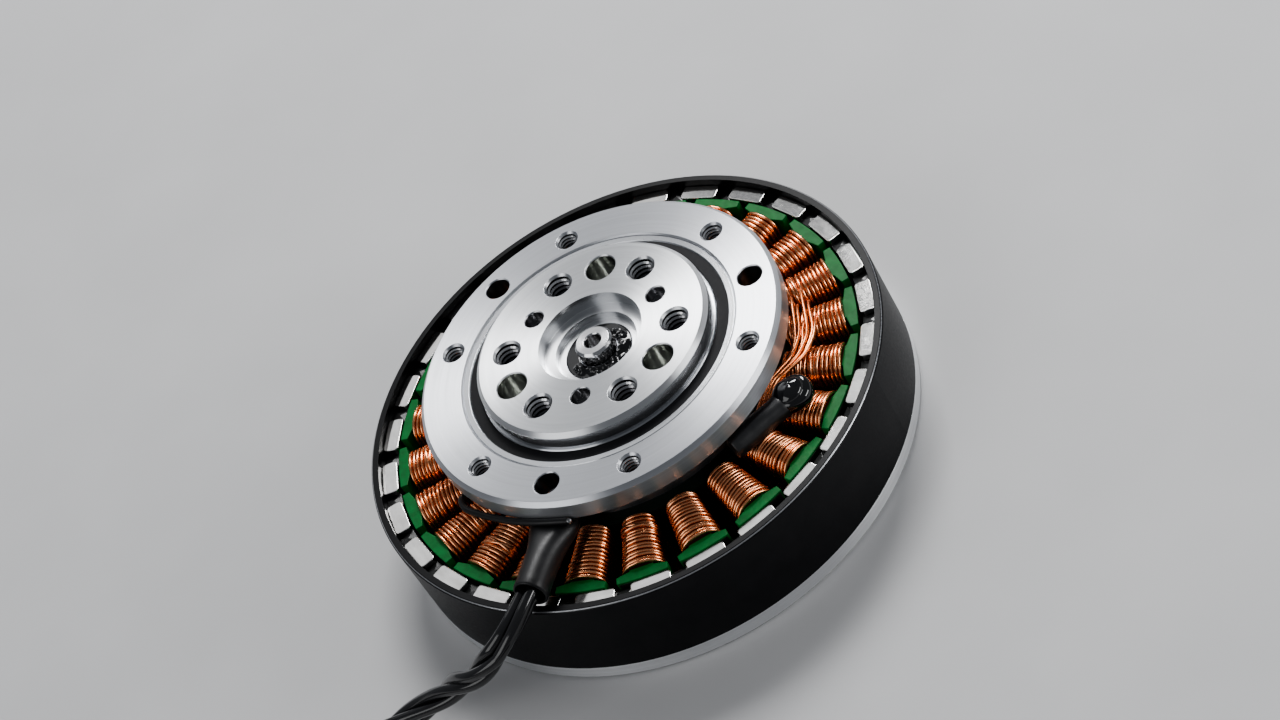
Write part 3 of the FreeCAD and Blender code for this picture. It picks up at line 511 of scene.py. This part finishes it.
# The lead: three jacketed wires twisted about one centreline. The route's points are in metres.
LEAD_ROUTE = [(0.0, -0.0294, 0.01655), (0.0, -0.0375, 0.01655), (-0.0053, -0.042, 0.0125),
              (-0.0122, -0.042, 0.0082), (-0.019, -0.043, 0.0042), (-0.0272, -0.0468, 0.0018),
              (-0.0336, -0.0564, 0.0018), (-0.0339, -0.0698, 0.0018), (-0.0264, -0.082, 0.0018),
              (-0.0132, -0.088, 0.0018), (0.001, -0.0848, 0.0038), (0.0098, -0.0744, 0.0038)]
LEAD_WIRE = 1.55
STRAND_COUNT = 3
STRAND_OFFSET = 0.93
STRAIGHT_RUN = 13.0
TWIST_PITCH = 24.0
TWIST_START = 0.08
TWIST_ERROR, TWIST_ERROR_RATE = 0.35, 260
FLOOR_GAP = 0.02


def route_line(points):
    """Points along the smooth line that a route's points control."""
    curve = bpy.data.curves.new("lead_route", "CURVE")
    curve.dimensions = "3D"
    curve.resolution_u = 24
    spline = curve.splines.new("NURBS")
    spline.points.add(len(points) - 1)
    for point, where in zip(spline.points, points):
        point.co = (*where, 1.0)
    spline.order_u = 3
    spline.use_endpoint_u = True
    route_object = bpy.data.objects.new("lead_route", curve)
    route_mesh = bpy.data.meshes.new_from_object(route_object)
    line = [v.co.copy() for v in route_mesh.vertices]
    bpy.data.objects.remove(route_object)
    bpy.data.meshes.remove(route_mesh)
    return line


def lead_strand(centreline, travelled, strand):
    """The path of one wire, straight at first and then wound about the centreline."""
    side = Vector((1, 0, 0))
    path = []
    for i, point in enumerate(centreline):
        after = centreline[min(i + 1, len(centreline) - 1)]
        before = centreline[max(i - 1, 0)]
        ahead_here = (after - before).normalized()
        side = (side - ahead_here * side.dot(ahead_here)).normalized()
        other = ahead_here.cross(side)
        wound = max(0.0, travelled[i] / MM - STRAIGHT_RUN) / TWIST_PITCH
        error = TWIST_ERROR * math.sin(travelled[i] * TWIST_ERROR_RATE + strand)
        turn = 2 * math.pi * (wound + strand / STRAND_COUNT + TWIST_START) + error
        offset = side * math.cos(turn) + other * math.sin(turn)
        spot = (point / MM) + offset * STRAND_OFFSET
        spot.z = max(spot.z, LEAD_WIRE / 2 + FLOOR_GAP)
        path.append(spot)
    return path


def lead_wires():
    centreline = route_line(LEAD_ROUTE)
    travelled = [0.0]
    for a, b in zip(centreline, centreline[1:]):
        travelled.append(travelled[-1] + (b - a).length)
    verts, faces = [], []
    for strand in range(STRAND_COUNT):
        add_tube(verts, faces, lead_strand(centreline, travelled, strand), LEAD_WIRE / 2, 14)
    lead = make_piece("lead_wires", verts, faces, wire_jacket, "stator")
    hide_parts("lead_bundle")


lead_wires()


# Wound coils: every turn is a wire of its own, laid side by side with small errors
CORNER_STEPS = 5
CROWN_STEPS = (0.2, 0.4, 0.6, 0.8)
CORNER_SHARE = 0.41
TURN_BELOW_CROWN = 0.15
TURN_BOW = 0.05
TURN_ABOVE_FOOT = 0.25
CROSSING_BELOW_CROWN = 0.06
CROSSING_CORNER_SHARE = 0.40
CROSSING_BOW = 0.04
CROSSING_ABOVE_FOOT = 0.2
CROSSING_WIDER = 0.2


def coil_width(t):
    """The coil's width, from its inner end at 0 to its outer end at 1."""
    return COIL_WIDTH_IN + (COIL_WIDTH_OUT - COIL_WIDTH_IN) * t


def coil_turn(x, width, low, high, slant, corner, bow):
    """One turn round a tooth along +X, as a closed loop. It slants one way on top and the other way below."""
    half = width / 2
    points = []

    def corner_arc(cy, cz, start):
        for k in range(CORNER_STEPS + 1):
            a = start + math.pi / 2 * k / CORNER_STEPS
            points.append((cy + corner * math.cos(a), cz + corner * math.sin(a)))

    corner_arc(half - corner, high - corner, 0.0)
    for t in CROWN_STEPS:
        y = (half - corner) * (1 - 2 * t)
        points.append((y, high + bow * (1 - (2 * t - 1) ** 2)))
    corner_arc(-half + corner, high - corner, math.pi / 2)
    corner_arc(-half + corner, low + corner, math.pi)
    corner_arc(half - corner, low + corner, 1.5 * math.pi)
    loop = []
    for y, z in points:
        upper = z > (low + high) / 2
        shift = slant * (y / half) if upper else -slant * (y / half)
        loop.append(Vector((x + shift, y, z)))
    return loop


def wound_coil(verts, faces, angle, rng):
    """One coil on the tooth at an angle. The errors of each turn are drawn in a fixed order."""
    spin = Matrix.Rotation(math.radians(angle), 3, "Z")
    radius = WIRE / 2
    pitch = (COIL_OUT - COIL_IN - WIRE) / (COIL_TURNS - 1)
    lean = rng.uniform(-0.40, 0.40)
    sag = rng.uniform(-0.12, 0.0)
    foot = COIL_LOW + radius + TURN_ABOVE_FOOT
    for i in range(COIL_TURNS):
        t = i / (COIL_TURNS - 1)
        slant = (lean + rng.uniform(-0.09, 0.09)) * min(1.0, 3.0 * min(t, 1 - t) + 0.15)
        x = COIL_IN + radius + pitch * i + rng.uniform(-0.035, 0.035)
        width = coil_width(t) - WIRE + rng.uniform(-0.18, 0.04)
        high = COIL_HIGH - radius - TURN_BELOW_CROWN + sag + rng.uniform(-0.12, 0.10)
        corner = CORNER_SHARE * width + rng.uniform(-0.10, 0.06)
        bow = TURN_BOW + rng.uniform(-0.03, 0.03)
        loop = coil_turn(x, width, foot, high, slant, corner, bow)
        add_tube(verts, faces, [spin @ p for p in loop], radius * rng.uniform(0.95, 1.0), 9, closed=True)
    # a few turns of the next layer, which cross the ones below
    foot = COIL_LOW + radius + CROSSING_ABOVE_FOOT
    high = COIL_HIGH - radius - CROSSING_BELOW_CROWN
    for _ in range(rng.choice((0, 1, 2))):
        t = rng.uniform(0.12, 0.8)
        x = COIL_IN + (COIL_OUT - COIL_IN) * t
        width = coil_width(t) - WIRE + CROSSING_WIDER
        slant = lean + rng.uniform(-0.6, 0.6)
        loop = coil_turn(x, width, foot, high, slant, CROSSING_CORNER_SHARE * width, CROSSING_BOW)
        add_tube(verts, faces, [spin @ p for p in loop], radius, 8, closed=True)


def tooth_angles(phase):
    """The angles of the teeth that carry a phase, in degrees."""
    teeth = [k for k in range(TOOTH_COUNT) if PHASE_PATTERN[k % len(PHASE_PATTERN)] == phase]
    return [FIRST_TOOTH + TOOTH_STEP * k for k in teeth]


def coil_turns():
    rng = random.Random(5)
    for phase in "uvw":
        verts, faces = [], []
        for angle in tooth_angles(phase):
            wound_coil(verts, faces, angle, rng)
        make_piece("coil_turns_" + phase, verts, faces, copper, "stator")


def coil_layers():
    """The lower layers under the outer turns, a little smaller than the coil, in dark copper as painted shade
    between the turns.
    """
    end_gap = 0.05
    narrower = 1.6 * WIRE
    foot, crown = COIL_LOW + 0.6, COIL_HIGH - 0.85
    corner, bow = 1.2, 0.12
    for phase in "uvw":
        verts, faces = [], []
        for angle in tooth_angles(phase):
            spin = Matrix.Rotation(math.radians(angle), 3, "Z")
            start = len(verts)
            for t in (0.0, 0.5, 1.0):
                x = COIL_IN + end_gap + (COIL_OUT - COIL_IN - 2 * end_gap) * t
                loop = coil_turn(x, coil_width(t) - narrower, foot, crown, 0.0, corner, bow)
                verts.extend(spin @ p for p in loop)
            n = len(loop)
            join_rings(faces, 3, n, start, flip=True)
            faces.append(tuple(start + i for i in reversed(range(n))))
            faces.append(tuple(start + 2 * n + i for i in range(n)))
        core = make_piece("coil_layers_" + phase, verts, faces, copper_painted_shade, "stator",
                          smooth=False)
        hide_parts("coils_phase_" + phase)
        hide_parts("coils_phase_" + phase)


coil_turns()
coil_layers()


# Threads in the output flange and in the stator flange. Root and crest are half heights of the ridge,
# as shares of the pitch, and the fade is counted in steps.
THREAD_STEPS = 28
THREAD_FADE = 10.0
THREAD_ROOT, THREAD_CREST = 0.34, 0.06


def add_thread(verts, faces, centre, wall, crest, pitch, top_z, depth):
    """A right-hand ridge that winds down the wall of a hole and fades at both ends."""
    root, flat = THREAD_ROOT * pitch, THREAD_CREST * pitch
    turns = depth / pitch
    total = int(THREAD_STEPS * turns)
    first = len(verts)
    for i in range(total + 1):
        a = 2 * math.pi * i / THREAD_STEPS
        z = top_z - pitch * i / THREAD_STEPS
        fade = min(1.0, i / THREAD_FADE, (total - i) / THREAD_FADE)
        inner = wall - (wall - crest) * fade
        for r, dz in ((wall, root), (inner, flat), (inner, -flat), (wall, -root)):
            verts.append(centre + Vector((r * math.cos(-a), r * math.sin(-a), z + dz)))
    for i in range(total):
        a = first + 4 * i
        b = a + 4
        for k in range(3):
            faces.append((a + k, a + k + 1, b + k + 1, b + k))


def thread_piece(name, circle, first, profile, material, body):
    """The threads of a circle of holes. The profile is the wall, crest, pitch, top and depth of each."""
    verts, faces = [], []
    for k in range(HOLE_COUNT):
        add_thread(verts, faces, polar(circle, first + HOLE_STEP * k), *profile)
    make_piece(name, verts, faces, material, body, smooth=False)


thread_piece("output_threads", OUTPUT_CIRCLE, OUTPUT_FIRST, (1.665, 1.42, 0.7, OUTPUT_FACE - 0.42, 5.4),
             output_thread_metal, "output")
thread_piece("flange_threads", FLANGE_CIRCLE, 0.0, (1.262, 1.07, 0.5, FLANGE_FACE - 0.38, 2.6),
             flange_thread_metal, "stator")


# Glue between the magnets, a block with a low peak in each gap
def magnet_glue():
    low, high, peak = 3.0, 12.1, 0.18
    inner, outer_start, outer_end, peak_radius = 31.85, 33.88, 33.9, 32.9
    rng = random.Random(3)
    verts, faces = [], []
    gap = 360.0 / MAGNET_COUNT
    half = gap / 2 - math.degrees(MAGNET_HALF_WIDTH / MAGNET_MIDDLE) - 0.08
    outline = ((inner, -half * 1.05), (outer_start, -half * 0.8),
               (outer_end, half * 0.8), (inner, half * 1.05))
    for k in range(MAGNET_COUNT):
        middle = FIRST_MAGNET + gap * (k + 0.5)
        height = high + rng.uniform(-0.25, 0.25)
        start = len(verts)
        for z in (low, height):
            for r, a in outline:
                verts.append(polar(r, middle + a, z))
        verts.append(polar(peak_radius, middle, height + peak))
        for i in range(4):
            j = (i + 1) % 4
            faces.append((start + i, start + j, start + 4 + j, start + 4 + i))
            faces.append((start + 4 + i, start + 4 + j, start + 8))
    make_piece("magnet_glue", verts, faces, filler, "rotor", smooth=False)


magnet_glue()


# Shrink sleeve over the leads: flat under the flange, round at its open mouth.
# Each row: distance from the axis, width, height, and how far its middle lies off the sleeve's height.
# It counts as fully flat where it is wider than high by the last value.
SLEEVE_Z = 16.55
SLEEVE_ROWS = [(22.7, 6.2, 2.85, -0.10), (23.6, 6.5, 3.05, -0.05), (24.6, 6.55, 3.3, 0.0),
               (25.6, 6.1, 3.6, 0.0), (26.8, 5.3, 3.95, 0.0), (28.2, 4.65, 4.2, 0.0),
               (29.8, 4.4, 4.32, 0.0), (31.4, 4.32, 4.36, 0.0), (32.9, 4.36, 4.38, 0.0),
               (33.7, 4.4, 4.4, 0.0), (34.0, 4.3, 4.3, 0.0), (34.0, 3.7, 3.7, 0.0),
               (33.7, 3.62, 3.62, 0.0), (31.0, 3.55, 3.55, 0.0)]
FULLY_FLAT = 3.4


def lead_sleeve():
    sides = 40
    verts, faces = [], []
    for reach, width, height, drop in SLEEVE_ROWS:
        flatness = max(0.0, min(1.0, (width - height) / FULLY_FLAT))
        for a in around(sides):
            # three wires show as soft ridges where the sleeve is flat
            ridge = 1.0 + 0.05 * flatness * math.cos(6 * a)
            across = math.cos(a)
            y = width / 2 * math.copysign(abs(across) ** (1 - 0.25 * flatness), across)
            z = height / 2 * math.sin(a) * ridge
            verts.append(Vector((y, -reach, SLEEVE_Z + z + drop)))
    join_rings(faces, len(SLEEVE_ROWS), sides)
    faces.append(tuple(range(sides)))
    piece = make_piece("lead_sleeve_skin", verts, faces, sleeve_black, "stator")
    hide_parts("lead_sleeve")


lead_sleeve()


# The star joint: coil ends in a shrink sleeve, closed with a drop of black resin
JOINT_START = Vector((20.2, -12.15, 15.75))
JOINT_END = Vector((25.4, -5.45, 15.75))
JOINT_LENGTH = (JOINT_END - JOINT_START).length
JOINT_AHEAD = (JOINT_END - JOINT_START).normalized()
JOINT_SIDE = JOINT_AHEAD.cross(Vector((0, 0, 1)))
JOINT_RADIUS = 1.70
DROP_RADIUS, DROP_HEIGHT = 2.62, 2.02
DROP_PAST_SLEEVE = 1.45
DROP_MIDDLE = 1.98


def joint_sleeve():
    """A slightly wrinkled sleeve. Each row is the distance along it and its radius there."""
    lip = 0.12
    rows = [(0.0, 1.10), (0.0, 1.56), (lip, 1.66), (1.2, 1.70), (3.0, 1.70), (5.0, 1.66), (6.6, 1.62),
            (7.6, 1.66), (JOINT_LENGTH - lip, 1.70), (JOINT_LENGTH, 1.62), (JOINT_LENGTH, 1.42),
            (JOINT_LENGTH - 0.9, 1.36)]
    sides = 36
    verts, faces = [], []
    for along, radius in rows:
        squash = 1.0 - 0.06 * along / JOINT_LENGTH
        for a in around(sides):
            wrinkle = 0.035 * math.sin(3 * a + 0.9 * along) + 0.02 * math.sin(7 * a - 1.7 * along)
            if along < 0.2 or along > JOINT_LENGTH - 0.2:
                wrinkle *= 0.4
            r = min(radius + wrinkle - 0.03, JOINT_RADIUS)
            spot = JOINT_START + JOINT_AHEAD * along + JOINT_SIDE * (r * math.cos(a))
            verts.append(spot + Vector((0, 0, r * squash * math.sin(a))))
    join_rings(faces, len(rows), sides)
    faces.append(tuple(range(sides)))
    faces.append(tuple(len(verts) - 1 - k for k in range(sides)))
    piece = make_piece("star_joint_skin", verts, faces, joint_black, "stator")
    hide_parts("star_joint_sleeve")


def resin_drop():
    """A lumpy drop with a curl on top, flat where it rests on the coils."""
    rows, sides = 40, 56
    centre = JOINT_END + JOINT_AHEAD * DROP_PAST_SLEEVE
    centre.z = COIL_HIGH + DROP_MIDDLE
    verts, faces = [], []
    for down, a in globe(rows, sides):
        # a groove that winds from the crown down one side
        bend = (a - 3.6) % (2 * math.pi)
        groove = math.exp(-((down - 0.35 - 0.15 * bend) / 0.13) ** 2) * math.sin(bend / 2) ** 2
        lump = 0.035 * math.sin(2 * a + 1.1) * math.sin(down) + 0.02 * math.sin(3 * a + 2.5 * down)
        swell = 0.985 + lump - 0.13 * groove
        x = DROP_RADIUS * swell * math.sin(down) * math.cos(a)
        y = DROP_RADIUS * swell * math.sin(down) * math.sin(a)
        z = DROP_HEIGHT * swell * math.cos(down)
        spot = centre + JOINT_AHEAD * x + JOINT_SIDE * y + Vector((0, 0, z))
        spot.z = max(spot.z, COIL_HIGH + 0.03 * math.sin(a))
        verts.append(spot)
    join_rings(faces, rows + 1, sides)
    piece = make_piece("star_joint_drop", verts, faces, resin, "stator")
    merge_poles(piece)
    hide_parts("star_joint_epoxy")


def joint_wires():
    """Coil ends that run along the edge of the flange and dive under the joint."""
    rng = random.Random(21)
    verts, faces = [], []
    count = 6
    for j in range(count):
        t = j / (count - 1)
        layer = j % 2
        reach = FLANGE_RADIUS - 0.6 + 2.6 * t
        first = 32.0 - 5.0 * (j % 3) + rng.uniform(-1.0, 1.0)
        sway = rng.uniform(-0.22, 0.22)
        points = [polar(reach, first + 2.5, 13.2),
                  polar(reach + sway, first - 1.0, 14.0 + 0.1 * layer),
                  polar(reach - sway, 17.0, 14.35 + 0.25 * layer),
                  polar(reach - 0.1 + sway * 0.5, 11.0, 14.6 + 0.35 * layer),
                  polar(FLANGE_RADIUS - 1.0 + 2.1 * t, 5.0, 14.85 + 0.4 * layer),
                  polar(FLANGE_RADIUS - 1.9 + 1.5 * t, -0.8, 15.05 + 0.45 * layer),
                  polar(FLANGE_RADIUS - 2.35 + 1.1 * t, -6.5, 15.1 + 0.5 * layer),
                  JOINT_START + JOINT_AHEAD * (2.4 + 0.56 * j) + Vector((0, 0, -0.3 + 0.4 * layer))]
        add_tube(verts, faces, smooth_line(points, 8), WIRE / 2, 8)
    piece = make_piece("joint_wires", verts, faces, joint_copper, "stator")
    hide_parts("star_joint_wires")


joint_sleeve()
resin_drop()
joint_wires()


# The two ends of the thin wire
SENSOR_WIRE_RADIUS = 0.44
BEAD_PLACE = polar(24.95, 277.2, 18.55)
BEAD_RADIUS = 0.40


def solder_bead():
    """A bright bead where the thin wire ends on the lead's sleeve."""
    rows, sides = 10, 16
    verts, faces = [], []
    for down, a in globe(rows, sides):
        swell = BEAD_RADIUS * (1 + 0.08 * math.sin(2 * a + down))
        out = swell * math.sin(down)
        verts.append(BEAD_PLACE + Vector((out * math.cos(a), out * math.sin(a), swell * math.cos(down))))
    join_rings(faces, rows + 1, sides)
    merge_poles(make_piece("sensor_wire_tip", verts, faces, pin_steel, "stator"))


def wire_tail():
    """The thin wire goes on from its other end, down the slot between two coils."""
    tail = [polar(23.4, 229.3, 15.75), polar(23.1, 228.0, 15.3), polar(22.6, 226.4, 14.0),
            polar(22.4, 225.0, 12.0), polar(22.4, 225.0, 9.0)]
    verts, faces = [], []
    add_tube(verts, faces, smooth_line(tail, 6), SENSOR_WIRE_RADIUS, 10)
    make_piece("sensor_wire_tail", verts, faces, sleeve_black, "stator")


solder_bead()
wire_tail()


# Black compound on the tip bearing, in uneven lumps round the shaft
COMPOUND_IN, COMPOUND_OUT = 2.62, 4.42
COMPOUND_FLOOR = 20.42
COMPOUND_FILM = 0.06
COMPOUND_UNDER = 0.15
LUMP_COUNT = 26


def bearing_compound():
    rng = random.Random(8)
    lumps = []
    for _ in range(LUMP_COUNT):
        middle = polar(rng.uniform(2.9, 4.1), rng.uniform(-150.0, 75.0))
        lumps.append((middle, rng.uniform(0.35, 0.6), rng.uniform(0.35, 0.8)))
    rings, sides = 12, 120
    angles = [360.0 * k / sides - 180.0 for k in range(sides)]
    radii = [COMPOUND_IN + (COMPOUND_OUT - COMPOUND_IN) * j / rings for j in range(rings + 1)]
    verts, faces = [], []
    for j, r in enumerate(radii):
        for degrees in angles:
            spot = polar(r, degrees)
            rise = 0.0
            for middle, size, tall in lumps:
                gap = (spot - middle).length / size
                rise = max(rise, tall * math.exp(-gap * gap))
            rim = min(1.0, 5.0 * min(j, rings - j) / rings)
            spot.z = COMPOUND_FLOOR + COMPOUND_FILM + rise * rim
            verts.append(spot)
    for r in (radii[-1], radii[0]):
        verts.extend(polar(r, degrees, COMPOUND_FLOOR - COMPOUND_UNDER) for degrees in angles)
    join_rings(faces, rings + 3, sides, closed=True)
    make_piece("tip_bearing_compound", verts, faces, resin, "output")


bearing_compound()


# Floor, lights and surroundings, in metres and watts
FLOOR_HALF = 3
LIGHT_AIM = Vector((0, 0, 0.01))
WORLD_COLOUR = (0.82, 0.86, 0.92, 1.0)
WORLD_STRENGTH = 0.22


def pale_floor():
    s = Shader("floor_pale")
    s.colour(s.ramp(s.noise(40.0, 3.0, 0.5), [(0.3, (0.47, 0.47, 0.475)), (0.7, (0.50, 0.50, 0.505))]))
    s.put(Roughness=0.62)
    mesh = bpy.data.meshes.new("floor")
    corners = [(x * FLOOR_HALF, y * FLOOR_HALF, 0) for x, y in ((-1, -1), (1, -1), (1, 1), (-1, 1))]
    mesh.from_pydata(corners, [], [(0, 1, 2, 3)])
    mesh.materials.append(s.mat)
    floor = bpy.data.objects.new("floor", mesh)
    scene.collection.objects.link(floor)


def area_light(name, place, width, height, power):
    data = bpy.data.lights.new(name, "AREA")
    data.shape = "RECTANGLE"
    data.size = width
    data.size_y = height
    data.energy = power
    obj = bpy.data.objects.new(name, data)
    scene.collection.objects.link(obj)
    obj.location = place
    obj.rotation_mode = "QUATERNION"
    obj.rotation_quaternion = (LIGHT_AIM - Vector(place)).to_track_quat("-Z", "Y")


pale_floor()
area_light("key", (-0.10, 0.41, 0.47), 0.24, 0.24, 3.6)
area_light("soft", (-0.44, 0.30, 0.47), 0.38, 0.40, 0.36)
area_light("fill", (-0.25, -0.45, 0.32), 0.40, 0.40, 0.9)
area_light("rim", (0.50, 0.10, 0.22), 0.30, 0.18, 1.2)

world = bpy.data.worlds.new("studio")
scene.world = world
world.use_nodes = True
background = world.node_tree.nodes["Background"]
background.inputs[0].default_value = WORLD_COLOUR
background.inputs[1].default_value = WORLD_STRENGTH

scene.view_settings.view_transform = "AgX"
scene.view_settings.look = "AgX - Medium High Contrast"
scene.view_settings.exposure = 0.0
